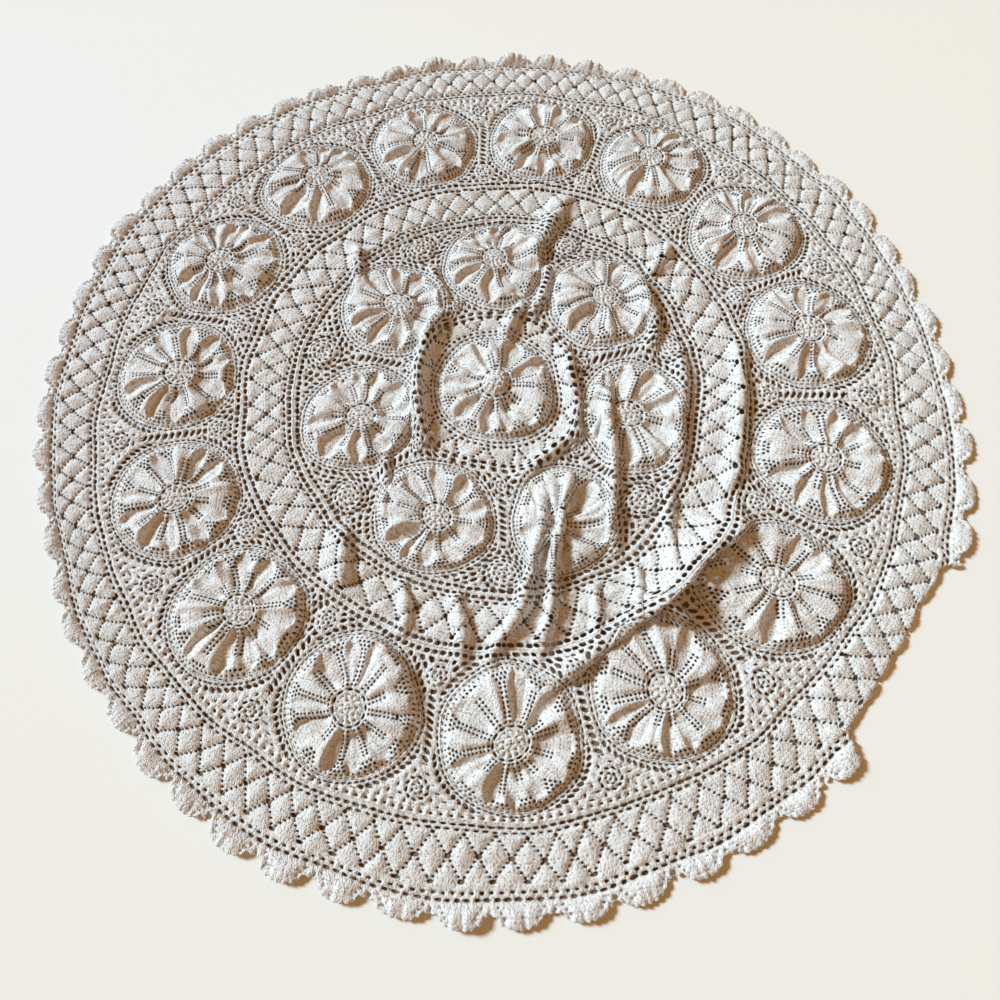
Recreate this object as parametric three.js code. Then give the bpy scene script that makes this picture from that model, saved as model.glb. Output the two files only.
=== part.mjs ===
import * as THREE from 'three';

// Round crochet tablecloth lying on a flat surface, rumpled near the middle.
// Millimetres, +Z up. The pieces are laid out flat about the centre of the cloth,
// then one drape function moves every piece, so that neighbours fold together.

// ---- driving sizes ----
const THREAD_THICK = 3;       // thickness of the crochet
const SEAM_GAP = 0.35;        // between two joined pieces
const OUTER_RING = 550;       // centre of the cloth to the centre of an outer rosette
const INNER_RING = 242;       // centre of the cloth to the centre of an inner rosette
const OUTER_ROSETTE_R = 100;
const INNER_ROSETTE_R = 91;
const CENTRE_ROSETTE_R = 93.5;
const OUTER_COUNT = 15;
const INNER_COUNT = 7;
const OUTER_PHASE = 101.1;    // degrees, anticlockwise from +X, of the first outer rosette
const INNER_PHASE = 137.7;    // the same for the first inner rosette
const CENTRE_NET_R = 137.5;   // rounds where one piece ends and the next begins
const INNER_NET_R = 346.5;
const BAND_MID_R = 390;
const BAND_R = 434.5;
const OUTER_NET_R = 662.75;
const SHELL_VALLEY_R = 765;
const SHELL_TIP_R = 785;
const SHELL_COUNT = 60;
const ROSETTE_FACETS = 20;

// Each rosette is worked fuller than flat, so that it buckles into radial ridges.
const RIDGE = { at: 0.62, high: 14, low: 4, middle: 6 };

// The mesh cell round one rosette: facets along each side, and degrees from the cell's axis
// to the first corner of the rosette's rim.
const INNER_CELL = { bottom: 3, side: 5, top: 7, turn: -153 };
const OUTER_CELL = { bottom: 4, side: 5, top: 6, turn: -144 };
const BAND_START_STEPS = 2;   // facets of the band between an outer rosette's axis and its first corner
const SHELL_START = 86.4;     // degrees, the first valley between two shells
const SHELL_SHOULDER = 1.6;   // degrees from a valley to the shell's shoulder

// ---- how far the cloth is pulled out of its flat circle ----
// One row per outer rosette: shift of the rosette to the right and away, and where the shell tips reach.
const OUTER_PULL = [
  { right:   5, away:   5, reach: 780 },
  { right:  10, away:   0, reach: 778 },
  { right:   0, away:  25, reach: 786 },
  { right:  -5, away:  20, reach: 778 },
  { right:  -5, away:  15, reach: 768 },
  { right:   0, away:   0, reach: 780 },
  { right:  10, away:  -5, reach: 782 },
  { right:   0, away: -15, reach: 788 },
  { right:   0, away: -20, reach: 797 },
  { right:  -5, away: -10, reach: 793 },
  { right:  10, away:   5, reach: 770 },
  { right:  10, away:  -5, reach: 757 },
  { right:  10, away:  -5, reach: 778 },
  { right: -10, away:  10, reach: 798 },
  { right:  10, away:  25, reach: 799 },
];
// One row per inner rosette.
const INNER_PULL = [
  { right:  10, away:  10 },
  { right:   0, away:  15 },
  { right:   5, away:  20 },
  { right: -10, away:  -5 },
  { right: -10, away: -30 },
  { right:   5, away: -15 },
  { right:   5, away:  -5 },
];
const PULL_SPREAD = 115;      // distance over which one pull dies away
const REACH_START = 680;      // radius where the stretch towards the shells begins

// One row per fold: name, foot x and y, head x and y, bow, height, left and right half width, lean.
// A fold runs from its foot to its head on an arc that bows to its right-hand side. left and right
// are the half widths of its two flanks, and lean tips the crest to the right.
const FOLD_ROWS = [
  ['main',          195, -420,  405, -252, -10, 42, 40, 20, 14],
  ['main tail',      20, -508,  318, -338,   4, 25, 24, 15,  6],
  ['pleat a',       -48, -485,   52, -160,  24, 21, 14, 13,  0],
  ['pleat b',        36, -475,   96, -140,  13, 25, 10, 11,  0],
  ['pleat c',       165, -330,  198,   25,  -6, 22, 15, 12,  0],
  ['pleat d',       196, -420,  192, -302,   2, 14, 11,  9,  0],
  ['pleat e',       130, -435,  138, -345,   2, 12, 10,  9,  0],
  ['pleat f',       244, -335,  268, -180,   4, 14, 14, 10,  0],
  ['wheel edge',    262,   15,  236,  240,  36, 20, 22, 12,  0],
  ['right inner',   262, -215,  320,   80,  20, 17, 18, 14,  0],
  ['right outer',   350, -250,  422,  100,  24, 18, 18, 15,  0],
  ['right top',     298,  190,  342,  272,   0, 12, 14, 10,  0],
  ['well left',    -112, -150,  -60,  190, -44, 28, 20, 19,  0],
  ['well right',    110, -128,  127,   84,   8, 19, 16, 10,  0],
  ['well foot',       4, -188,  120,  -88,   0, 13, 15, 10,  0],
  ['well top',       24,   70,   66,  172,  -4, 16, 15, 11,  0],
  ['top pleat',      72,  112,  124,  246,   0, 13, 12,  9,  0],
  ['top pinch',      78,  228,  168,  405,  -6, 19, 24, 18,  4],
  ['top middle',    -76,  160, -100,  262,   3, 12, 14,  9,  0],
  ['top left',     -230,  198, -228,  318,   0, 14, 16, 10,  0],
  ['left rim',     -200, -232, -184,  -96,   4, 11, 12,  8,  0],
  ['left band',    -262, -350, -250, -222,   4, 15, 22, 12,  0],
  ['low left',     -135, -572, -242, -392,  28, 12, 17, 12,  0],
  ['low pleat',    -166, -420, -162, -315,   0, 12, 12,  9,  0],
  ['low band',      -72, -472,  -88, -330,   0, 14, 14, 10,  0],
];

const FOLDS = FOLD_ROWS.map(([name, footX, footY, headX, headY, bow, high, left, right, lean]) => (
  { name, footX, footY, headX, headY, bow, high, left, right, lean }
));
const FOLD_FADE = 0.25;       // share of a fold's length over which each end dies away
// Cloth drawn in from the sides for each unit of height squared over width, but never past a half width.
const TAKE_UP = 0.4;
const TAKE_SPREAD = 180;      // distance over which the drawing in dies away

// The hem is turned under along a straight line at the right of the cloth, where it lies double.
const TURNED_HEM = { distance: 733, direction: -40.6, halfAngle: 11.5, rise: 3 };

// Facets are split where a straight one would miss the folded surface by more than this.
const FACET_MISS = 5.5;
const FACET_PASSES = 2;

// The cloth's own centre, as seen from the middle of its bounding box.
const CENTRE_OFFSET_X = 2.98;
const CENTRE_OFFSET_Y = 8.97;

const radians = THREE.MathUtils.degToRad;
const smooth = (t) => t * t * (3 - 2 * t);
const clamp01 = (t) => Math.min(1, Math.max(0, t));

// ---- drape ----
function ringPoint(radius, degrees) {
  return [radius * Math.cos(radians(degrees)), radius * Math.sin(radians(degrees))];
}

function outerCentre(k) {
  return ringPoint(OUTER_RING, OUTER_PHASE - (360 / OUTER_COUNT) * k);
}

function innerCentre(k) {
  return ringPoint(INNER_RING, INNER_PHASE - (360 / INNER_COUNT) * k);
}

const PULLS = [
  ...OUTER_PULL.map((row, k) => ({ at: outerCentre(k), ...row })),
  ...INNER_PULL.map((row, k) => ({ at: innerCentre(k), ...row })),
];

// Reach of the shell tips in one direction, eased between the rows of OUTER_PULL.
function reachAt(x, y) {
  const turns = (OUTER_PHASE - THREE.MathUtils.radToDeg(Math.atan2(y, x))) / (360 / OUTER_COUNT);
  const wrapped = ((turns % OUTER_COUNT) + OUTER_COUNT) % OUTER_COUNT;
  const before = Math.floor(wrapped) % OUTER_COUNT;
  const after = (before + 1) % OUTER_COUNT;
  const blend = smooth(wrapped - Math.floor(wrapped));
  return OUTER_PULL[before].reach * (1 - blend) + OUTER_PULL[after].reach * blend;
}

function pulled(x, y) {
  let px = x;
  let py = y;
  for (const pull of PULLS) {
    const away = (x - pull.at[0]) ** 2 + (y - pull.at[1]) ** 2;
    const share = Math.exp(-away / PULL_SPREAD ** 2);
    px += pull.right * share;
    py += pull.away * share;
  }
  const radius = Math.hypot(x, y);
  const rim = smooth(clamp01((radius - REACH_START) / (SHELL_TIP_R - REACH_START)));
  const stretch = radius > 0 ? ((reachAt(x, y) - SHELL_TIP_R) * rim) / radius : 0;
  return [px + x * stretch, py + y * stretch];
}

// Shift and height that one fold gives to a point.
function foldAt(x, y, fold) {
  const length = Math.hypot(fold.headX - fold.footX, fold.headY - fold.footY);
  const alongX = (fold.headX - fold.footX) / length;
  const alongY = (fold.headY - fold.footY) / length;
  const along = ((x - fold.footX) * alongX + (y - fold.footY) * alongY) / length;
  const bow = fold.bow * 4 * along * (1 - along);
  const side = (x - fold.footX) * alongY - (y - fold.footY) * alongX - bow;
  const fade = smooth(clamp01(Math.min(along, 1 - along) / FOLD_FADE));
  const width = side < 0 ? fold.left : fold.right;
  const bell = Math.exp(-((side / width) ** 2));
  const steepness = fold.high ** 2 / ((fold.left + fold.right) / 2);
  const take = Math.min(TAKE_UP * steepness, fold.left, fold.right);
  const drawIn = take * Math.sign(side) * (1 - bell) * Math.exp(-Math.abs(side) / TAKE_SPREAD);
  const shift = fade * (fold.lean * bell - drawIn);
  return { x: alongY * shift, y: -alongX * shift, z: fold.high * fade * bell };
}

function drape(x, y) {
  const [px, py] = pulled(x, y);
  const at = new THREE.Vector3(px, py, THREAD_THICK / 2);
  for (const fold of FOLDS) {
    const moved = foldAt(px, py, fold);
    at.x += moved.x;
    at.y += moved.y;
    at.z += moved.z;
  }
  return at;
}

const SLOPE_STEP = 2;
function normalAt(x, y) {
  const east = drape(x + SLOPE_STEP, y).sub(drape(x - SLOPE_STEP, y));
  const north = drape(x, y + SLOPE_STEP).sub(drape(x, y - SLOPE_STEP));
  return east.cross(north).normalize();
}

// ---- flat layout ----
// A sheet piece in the flat cloth: corners and triangles. Each corner keeps its seam point,
// the place on the shared seam line before the gap is taken off, so both sides split alike.
class FlatPiece {
  constructor() {
    this.corners = [];
    this.faces = [];
    this.index = new Map();
  }

  corner(x, y, { seamX = x, seamY = y, lift = 0, rise = 0 } = {}) {
    const key = `${x.toFixed(4)},${y.toFixed(4)}`;
    if (!this.index.has(key)) {
      this.index.set(key, this.corners.length);
      this.corners.push({ x, y, seamX, seamY, lift, rise });
    }
    return this.index.get(key);
  }

  // Corners on a circle about a centre; seam is the radius of the shared seam line.
  arc(centre, radius, start, step, count, { seam = radius, lift = () => 0 } = {}) {
    return Array.from({ length: count }, (_, k) => {
      const [x, y] = ringPoint(radius, start + step * k);
      const [seamX, seamY] = ringPoint(seam, start + step * k);
      const shared = { seamX: centre[0] + seamX, seamY: centre[1] + seamY, lift: lift(k) };
      return this.corner(centre[0] + x, centre[1] + y, shared);
    });
  }

  // Two loops or arcs of corners, stitched into triangles by how far along each one has come.
  zip(inner, outer, closed) {
    const innerSteps = closed ? inner.length : inner.length - 1;
    const outerSteps = closed ? outer.length : outer.length - 1;
    let i = 0;
    let o = 0;
    while (i < innerSteps || o < outerSteps) {
      const nextInner = (i + 1) / innerSteps;
      const nextOuter = (o + 1) / outerSteps;
      const a = inner[i % inner.length];
      const b = outer[o % outer.length];
      if (o >= outerSteps || (i < innerSteps && nextInner < nextOuter)) {
        this.faces.push([a, b, inner[(i + 1) % inner.length]]);
        i += 1;
      } else {
        this.faces.push([a, b, outer[(o + 1) % outer.length]]);
        o += 1;
      }
    }
  }

  // Splits the edges that miss the draped surface, the same way on both sides of a seam.
  refine() {
    for (let pass = 0; pass < FACET_PASSES; pass += 1) {
      const middles = new Map();
      const middle = (a, b) => {
        const key = a < b ? `${a}:${b}` : `${b}:${a}`;
        if (!middles.has(key)) {
          middles.set(key, misses(this.corners[a], this.corners[b]) ? this.between(a, b) : -1);
        }
        return middles.get(key);
      };
      const split = [];
      for (const [a, b, c] of this.faces) {
        split.push(...splitFace([a, b, c], [middle(a, b), middle(b, c), middle(c, a)]));
      }
      this.faces = split;
    }
  }

  between(a, b) {
    const from = this.corners[a];
    const to = this.corners[b];
    const half = (key) => (from[key] + to[key]) / 2;
    return this.corner(half('x'), half('y'), {
      seamX: half('seamX'),
      seamY: half('seamY'),
      lift: half('lift'),
      rise: half('rise'),
    });
  }

  // Closed sheet: an upper face, a lower face and walls along every open edge.
  solid() {
    const count = this.corners.length;
    const points = new Float32Array(count * 6);
    this.corners.forEach((corner, k) => {
      const at = drape(corner.x, corner.y);
      const up = normalAt(corner.x, corner.y);
      at.addScaledVector(up, corner.lift);
      const top = at.clone().addScaledVector(up, THREAD_THICK / 2 + corner.rise);
      const under = at.clone().addScaledVector(up, -THREAD_THICK / 2);
      points.set([top.x + CENTRE_OFFSET_X, top.y + CENTRE_OFFSET_Y, top.z], k * 3);
      points.set([under.x + CENTRE_OFFSET_X, under.y + CENTRE_OFFSET_Y, under.z], (count + k) * 3);
    });
    const open = new Map();
    const indices = [];
    for (const [a, b, c] of this.faces) {
      indices.push(a, b, c, count + a, count + c, count + b);
      for (const [p, q] of [[a, b], [b, c], [c, a]]) {
        if (!open.delete(`${q}:${p}`)) {
          open.set(`${p}:${q}`, [p, q]);
        }
      }
    }
    for (const [p, q] of open.values()) {
      // The wall's diagonal leans the same way on both sides of a seam.
      if (this.corners[p].seamX < this.corners[q].seamX) {
        indices.push(p, count + p, q, q, count + p, count + q);
      } else {
        indices.push(p, count + p, count + q, p, count + q, q);
      }
    }
    const geometry = new THREE.BufferGeometry();
    geometry.setAttribute('position', new THREE.BufferAttribute(points, 3));
    geometry.setIndex(indices);
    geometry.computeVertexNormals();
    return geometry;
  }
}

function misses(from, to) {
  const middle = drape((from.seamX + to.seamX) / 2, (from.seamY + to.seamY) / 2);
  const straight = drape(from.seamX, from.seamY).add(drape(to.seamX, to.seamY)).multiplyScalar(0.5);
  return middle.distanceTo(straight) > FACET_MISS;
}

// One triangle with up to three split edges; a middle of -1 is an edge left whole.
function splitFace([a, b, c], [ab, bc, ca]) {
  const halves = [ab, bc, ca].filter((m) => m >= 0).length;
  if (halves === 0) {
    return [[a, b, c]];
  }
  if (halves === 3) {
    return [[a, ab, ca], [ab, b, bc], [ca, bc, c], [ab, bc, ca]];
  }
  if (ab < 0) {
    return splitFace([b, c, a], [bc, ca, ab]);
  }
  if (halves === 1) {
    return [[a, ab, c], [ab, b, c]];
  }
  if (bc >= 0) {
    return [[a, ab, c], [ab, b, bc], [ab, bc, c]];
  }
  return [[a, ab, ca], [ab, b, c], [ab, c, ca]];
}

// ---- pieces ----
const ORIGIN = [0, 0];
const HALF_GAP = SEAM_GAP / 2;
const ROSETTE_STEP = 360 / ROSETTE_FACETS;

// A wheel motif: a middle, a ring of ridges and hollows, and a flat rim.
function rosette(centre, radius, start) {
  const piece = new FlatPiece();
  const middle = [piece.corner(centre[0], centre[1], { lift: RIDGE.middle })];
  const ridge = (k) => (k % 2 === 0 ? RIDGE.high : RIDGE.low);
  const ridges = piece.arc(centre, radius * RIDGE.at, start, ROSETTE_STEP, ROSETTE_FACETS, { lift: ridge });
  const rim = piece.arc(centre, radius - HALF_GAP, start, ROSETTE_STEP, ROSETTE_FACETS, { seam: radius });
  ridges.forEach((corner, k) => piece.faces.push([middle[0], corner, ridges[(k + 1) % ROSETTE_FACETS]]));
  piece.zip(ridges, rim, true);
  return piece;
}

// The mesh round one rosette: a cell of the net between two rounds and two rays, less the rosette.
function netCell(piece, cell, centre, axis, halfAngle, holeRadius, inside, outside) {
  const sideRay = (direction, from, to) => Array.from({ length: cell.side }, (_, k) => {
    const radius = from + ((to - from) * k) / cell.side;
    return piece.corner(...ringPoint(radius, direction));
  });
  const low = inside.radius;
  const high = outside.radius;
  const right = axis - halfAngle;
  const left = axis + halfAngle;
  const topStep = (2 * halfAngle) / cell.top;
  const bottomStep = (2 * halfAngle) / cell.bottom;
  const top = piece.arc(ORIGIN, high, right, topStep, cell.top + 1, { seam: outside.seam });
  const bottom = piece.arc(ORIGIN, low, left, -bottomStep, cell.bottom + 1, { seam: inside.seam });
  const edge = [
    ...sideRay(right, low, high),
    ...top.slice(0, -1),
    ...sideRay(left, high, low),
    ...bottom.slice(0, -1),
  ];
  const seam = { seam: holeRadius };
  const hole = piece.arc(centre, holeRadius + HALF_GAP, axis + cell.turn, ROSETTE_STEP, ROSETTE_FACETS, seam);
  piece.zip(hole, edge, true);
}

function innerJoiningNet() {
  const piece = new FlatPiece();
  const halfAngle = 180 / INNER_COUNT;
  const start = INNER_PHASE - halfAngle;
  const seam = { seam: CENTRE_ROSETTE_R };
  const eye = piece.arc(ORIGIN, CENTRE_ROSETTE_R + HALF_GAP, start, ROSETTE_STEP, ROSETTE_FACETS, seam);
  const steps = INNER_CELL.bottom * INNER_COUNT;
  const collar = piece.arc(ORIGIN, CENTRE_NET_R, start, 360 / steps, steps);
  piece.zip(eye, collar, true);
  const inside = { radius: CENTRE_NET_R, seam: CENTRE_NET_R };
  const outside = { radius: INNER_NET_R - HALF_GAP, seam: INNER_NET_R };
  for (let k = 0; k < INNER_COUNT; k += 1) {
    const axis = INNER_PHASE - 2 * halfAngle * k;
    netCell(piece, INNER_CELL, innerCentre(k), axis, halfAngle, INNER_ROSETTE_R, inside, outside);
  }
  return piece;
}

function outerJoiningNet() {
  const piece = new FlatPiece();
  const halfAngle = 180 / OUTER_COUNT;
  const inside = { radius: BAND_R + HALF_GAP, seam: BAND_R };
  const outside = { radius: OUTER_NET_R - HALF_GAP, seam: OUTER_NET_R };
  for (let k = 0; k < OUTER_COUNT; k += 1) {
    const axis = OUTER_PHASE - 2 * halfAngle * k;
    netCell(piece, OUTER_CELL, outerCentre(k), axis, halfAngle, OUTER_ROSETTE_R, inside, outside);
  }
  return piece;
}

// The band of fans and eyelets round the inner group.
function innerLatticeBand() {
  const piece = new FlatPiece();
  const innerSteps = INNER_CELL.top * INNER_COUNT;
  const outerSteps = OUTER_CELL.bottom * OUTER_COUNT;
  const innerStart = INNER_PHASE - 180 / INNER_COUNT;
  const outerStep = 360 / outerSteps;
  const outerStart = OUTER_PHASE + BAND_START_STEPS * outerStep;
  const innerSeam = { seam: INNER_NET_R };
  const innerStep = 360 / innerSteps;
  const inner = piece.arc(ORIGIN, INNER_NET_R + HALF_GAP, innerStart, innerStep, innerSteps, innerSeam);
  const middle = piece.arc(ORIGIN, BAND_MID_R, outerStart, outerStep, outerSteps);
  const outer = piece.arc(ORIGIN, BAND_R - HALF_GAP, outerStart, outerStep, outerSteps, { seam: BAND_R });
  piece.zip(inner, middle, true);
  piece.zip(middle, outer, true);
  return piece;
}

// A shell corner, drawn back to the fold line where the hem is turned under and lies double.
function shellCorner(piece, radius, degrees) {
  const across = Math.abs(degrees - TURNED_HEM.direction) % 360;
  const offLine = Math.min(across, 360 - across);
  const foldRadius = TURNED_HEM.distance / Math.cos(radians(offLine));
  const turned = offLine < TURNED_HEM.halfAngle && foldRadius < radius;
  const [x, y] = ringPoint(turned ? foldRadius : radius, degrees);
  return piece.corner(x, y, { rise: turned ? TURNED_HEM.rise : 0 });
}

function outerLatticeBorder() {
  const piece = new FlatPiece();
  const steps = OUTER_CELL.top * OUTER_COUNT;
  const start = OUTER_PHASE - 180 / OUTER_COUNT;
  const seam = { seam: OUTER_NET_R };
  const inner = piece.arc(ORIGIN, OUTER_NET_R + HALF_GAP, start, 360 / steps, steps, seam);
  const shells = [];
  for (let k = 0; k < SHELL_COUNT; k += 1) {
    const valley = SHELL_START + (360 / SHELL_COUNT) * k;
    shells.push(shellCorner(piece, SHELL_VALLEY_R, valley));
    shells.push(shellCorner(piece, SHELL_TIP_R, valley + SHELL_SHOULDER));
    shells.push(shellCorner(piece, SHELL_TIP_R, valley + 360 / SHELL_COUNT - SHELL_SHOULDER));
  }
  piece.zip(inner, shells, true);
  return piece;
}

// ---- assembly ----
const tablecloth = new THREE.Group();

function addPiece(name, piece) {
  piece.refine();
  const thread = new THREE.MeshStandardMaterial({ color: 0xefece4, roughness: 0.95, metalness: 0 });
  const mesh = new THREE.Mesh(piece.solid(), thread);
  mesh.name = name;
  tablecloth.add(mesh);
}

addPiece('centre_rosette', rosette(ORIGIN, CENTRE_ROSETTE_R, INNER_PHASE - 180 / INNER_COUNT));
addPiece('inner_joining_net', innerJoiningNet());
for (let k = 0; k < INNER_COUNT; k += 1) {
  const axis = INNER_PHASE - (360 / INNER_COUNT) * k;
  addPiece(`inner_rosette_${k + 1}`, rosette(innerCentre(k), INNER_ROSETTE_R, axis + INNER_CELL.turn));
}
addPiece('inner_lattice_band', innerLatticeBand());
addPiece('outer_joining_net', outerJoiningNet());
for (let k = 0; k < OUTER_COUNT; k += 1) {
  const axis = OUTER_PHASE - (360 / OUTER_COUNT) * k;
  addPiece(`outer_rosette_${k + 1}`, rosette(outerCentre(k), OUTER_ROSETTE_R, axis + OUTER_CELL.turn));
}
addPiece('outer_lattice_border', outerLatticeBorder());

export default tablecloth;
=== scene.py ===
import bpy
import numpy as np
from math import ceil, copysign, cos, hypot, pi, radians, sin, tau
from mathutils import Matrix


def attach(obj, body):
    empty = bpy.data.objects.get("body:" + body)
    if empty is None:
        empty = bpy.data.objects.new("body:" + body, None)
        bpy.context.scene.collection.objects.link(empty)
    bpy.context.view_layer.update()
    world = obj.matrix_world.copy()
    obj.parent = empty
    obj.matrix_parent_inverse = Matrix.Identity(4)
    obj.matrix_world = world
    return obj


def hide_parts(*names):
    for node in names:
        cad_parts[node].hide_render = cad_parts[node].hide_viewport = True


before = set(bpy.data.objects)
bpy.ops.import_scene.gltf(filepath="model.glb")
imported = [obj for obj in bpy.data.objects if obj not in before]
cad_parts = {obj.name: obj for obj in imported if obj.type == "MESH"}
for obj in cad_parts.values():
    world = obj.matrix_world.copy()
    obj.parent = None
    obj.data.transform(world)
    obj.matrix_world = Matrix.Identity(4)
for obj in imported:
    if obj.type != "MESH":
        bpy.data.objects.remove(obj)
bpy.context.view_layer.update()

# ---------------------------------------------------------------- centre wheel motif
# The first piece crocheted: a round motif of white cotton thread, worked in rounds from a
# ring of chain out to its rim. Twelve spokes of eyelets part its petals, which are worked
# fuller than flat and buckle into ridges. Its rim stitches are joined to the net round it.

MM = 0.001                     # the cloth's sizes are in millimetres, and the scene's in metres
CENTRE_WHEEL_R = 93.5
# Of each ring of wheels: its radius, how many, and the first one's direction in degrees.
OUTER_RING, OUTER_COUNT, OUTER_PHASE = 550, 15, 101.1
INNER_RING, INNER_COUNT, INNER_PHASE = 242, 7, 137.7
CLOTH_MIDDLE = (2.98, 8.97)    # the cloth's own centre, from the middle of its box
PUSH_FROM = 152                # degrees from the right, where the petals were pushed from
SHELL_TIP_R = 785

# Right and away shift of each outer wheel, and how far out the shell tips reach beside it.
OUTER_PULL = np.array([
    (5, 5, 780), (10, 0, 778), (0, 25, 786), (-5, 20, 778), (-5, 15, 768),
    (0, 0, 780), (10, -5, 782), (0, -15, 788), (0, -20, 797), (-5, -10, 793),
    (10, 5, 770), (10, -5, 757), (10, -5, 778), (-10, 10, 798), (10, 25, 799),
])
INNER_PULL = np.array([(10, 10), (0, 15), (5, 20), (-10, -5), (-10, -30), (5, -15), (5, -5)])
PULL_SPREAD, REACH_START = 115, 680    # how far a wheel's shift spreads, and where the edge's begins

# One row per fold: foot x, y, head x, y, bow, height, left and right half width, lean.
FOLDS = {
    "main":          (195, -420, 405, -252, -10, 42, 40, 20, 14),
    "main tail":     (20, -508, 318, -338, 4, 25, 24, 15, 6),
    "pleat a":       (-48, -485, 52, -160, 24, 21, 14, 13, 0),
    "pleat b":       (36, -475, 96, -140, 13, 25, 10, 11, 0),
    "pleat c":       (165, -330, 198, 25, -6, 22, 15, 12, 0),
    "pleat d":       (196, -420, 192, -302, 2, 14, 11, 9, 0),
    "pleat e":       (130, -435, 138, -345, 2, 12, 10, 9, 0),
    "pleat f":       (244, -335, 268, -180, 4, 14, 14, 10, 0),
    "wheel edge":    (262, 15, 236, 240, 36, 20, 22, 12, 0),
    "right inner":   (262, -215, 320, 80, 20, 17, 18, 14, 0),
    "right outer":   (350, -250, 422, 100, 24, 18, 18, 15, 0),
    "right top":     (298, 190, 342, 272, 0, 12, 14, 10, 0),
    "well left":     (-112, -150, -60, 190, -44, 28, 20, 19, 0),
    "well right":    (110, -128, 127, 84, 8, 19, 16, 10, 0),
    "well foot":     (4, -188, 120, -88, 0, 13, 15, 10, 0),
    "well top":      (24, 70, 66, 172, -4, 16, 15, 11, 0),
    "top pleat":     (72, 112, 124, 246, 0, 13, 12, 9, 0),
    "top pinch":     (78, 228, 168, 405, -6, 19, 24, 18, 4),
    "top middle":    (-76, 160, -100, 262, 3, 12, 14, 9, 0),
    "top left":      (-230, 198, -228, 318, 0, 14, 16, 10, 0),
    "left rim":      (-200, -232, -184, -96, 4, 11, 12, 8, 0),
    "left band":     (-262, -350, -250, -222, 4, 15, 22, 12, 0),
    "low left":      (-135, -572, -242, -392, 28, 12, 17, 12, 0),
    "low pleat":     (-166, -420, -162, -315, 0, 12, 12, 9, 0),
    "low band":      (-72, -472, -88, -330, 0, 14, 14, 10, 0),
}
FOLD_FADE = 0.25                       # share of a fold's length over which each end dies away
TAKE_UP, TAKE_SPREAD = 0.4, 180        # how much a fold draws the cloth beside it in, and how far off
WOBBLE = 3.2                           # how far hand work strays from its true rounds
REST_HEIGHT = 1.5                      # the middle of the cloth above the table


def smooth(t):
    t = np.clip(t, 0, 1)
    return t * t * (3 - 2 * t)


def on_ring(radius, degrees):
    return radius * np.cos(np.radians(degrees)), radius * np.sin(np.radians(degrees))


def outer_wheel(k):
    return on_ring(OUTER_RING, OUTER_PHASE - 360 / OUTER_COUNT * k)


def inner_wheel(k):
    return on_ring(INNER_RING, INNER_PHASE - 360 / INNER_COUNT * k)


# Part of the hem is turned under along a line square to one direction, in degrees from the right.
HEM_LINE, HEM_DIRECTION, HEM_HALF_ANGLE = 733, -40.6, 11.5
HEM_END_ANGLE = 3              # degrees over which the turned part runs out at each end
HEM_BEND = 2.2                 # radius of the bend
HEM_LAP, HEM_SLOPE = 20, 25    # the cloth over it starts to rise this far inside it, over this length
NOT_TURNED = 70                # distance inside the line that stands for hem that lies flat


def hem_line(radius, angle):
    """How far points lie beyond the line where the hem is turned under; far inside it elsewhere."""
    off = np.abs((angle - HEM_DIRECTION + 180) % 360 - 180)
    line = HEM_LINE / np.cos(np.radians(np.minimum(off, 30)))
    return radius - line - NOT_TURNED * smooth((off - HEM_HALF_ANGLE) / HEM_END_ANGLE)


def turn_under(x, y):
    """The flat cloth with its hem turned under: new x and y, and how far it is raised."""
    radius, angle = np.hypot(x, y), np.degrees(np.arctan2(y, x))
    beyond = hem_line(radius, angle)
    half_bend = HEM_BEND * pi / 2
    round_bend = np.clip(beyond / half_bend, -1, 1) * pi / 2
    moved = -half_bend - np.maximum(beyond - half_bend, 0) + HEM_BEND * np.cos(round_bend)
    drawn = radius + np.where(beyond > -half_bend, moved - beyond, 0)
    doubled = smooth((beyond + SHELL_TIP_R + HEM_LAP - HEM_LINE) / HEM_SLOPE)
    raised = HEM_BEND * (1 - np.sin(round_bend)) * doubled
    share = drawn / np.maximum(radius, 1)
    return x * share, y * share, raised


def pull_out(x, y):
    """The flat cloth as it was tugged about: rounds uneven, each wheel shifted, the edge stretched."""
    px = x + WOBBLE * np.sin(y / 29 + 1.4 * np.sin(x / 61)) * np.sin(x / 43 + 2)
    py = y + WOBBLE * np.sin(x / 33 + 1.4 * np.sin(y / 57)) * np.sin(y / 47 + 1)
    rings = ((outer_wheel, OUTER_PULL, OUTER_COUNT), (inner_wheel, INNER_PULL, INNER_COUNT))
    for place, table, count in rings:
        for k in range(count):
            cx, cy = place(k)
            share = np.exp(-((x - cx) ** 2 + (y - cy) ** 2) / PULL_SPREAD ** 2)
            px += table[k, 0] * share
            py += table[k, 1] * share
    turns = ((OUTER_PHASE - np.degrees(np.arctan2(y, x))) / (360 / OUTER_COUNT)) % OUTER_COUNT
    before = np.floor(turns).astype(int) % OUTER_COUNT
    blend = smooth(turns - np.floor(turns))
    reach = OUTER_PULL[before, 2] * (1 - blend) + OUTER_PULL[(before + 1) % OUTER_COUNT, 2] * blend
    radius = np.maximum(np.hypot(x, y), 1)
    rim = smooth((radius - REACH_START) / (SHELL_TIP_R - REACH_START))
    stretch = (reach - SHELL_TIP_R) * rim / radius
    return px + x * stretch, py + y * stretch


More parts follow.
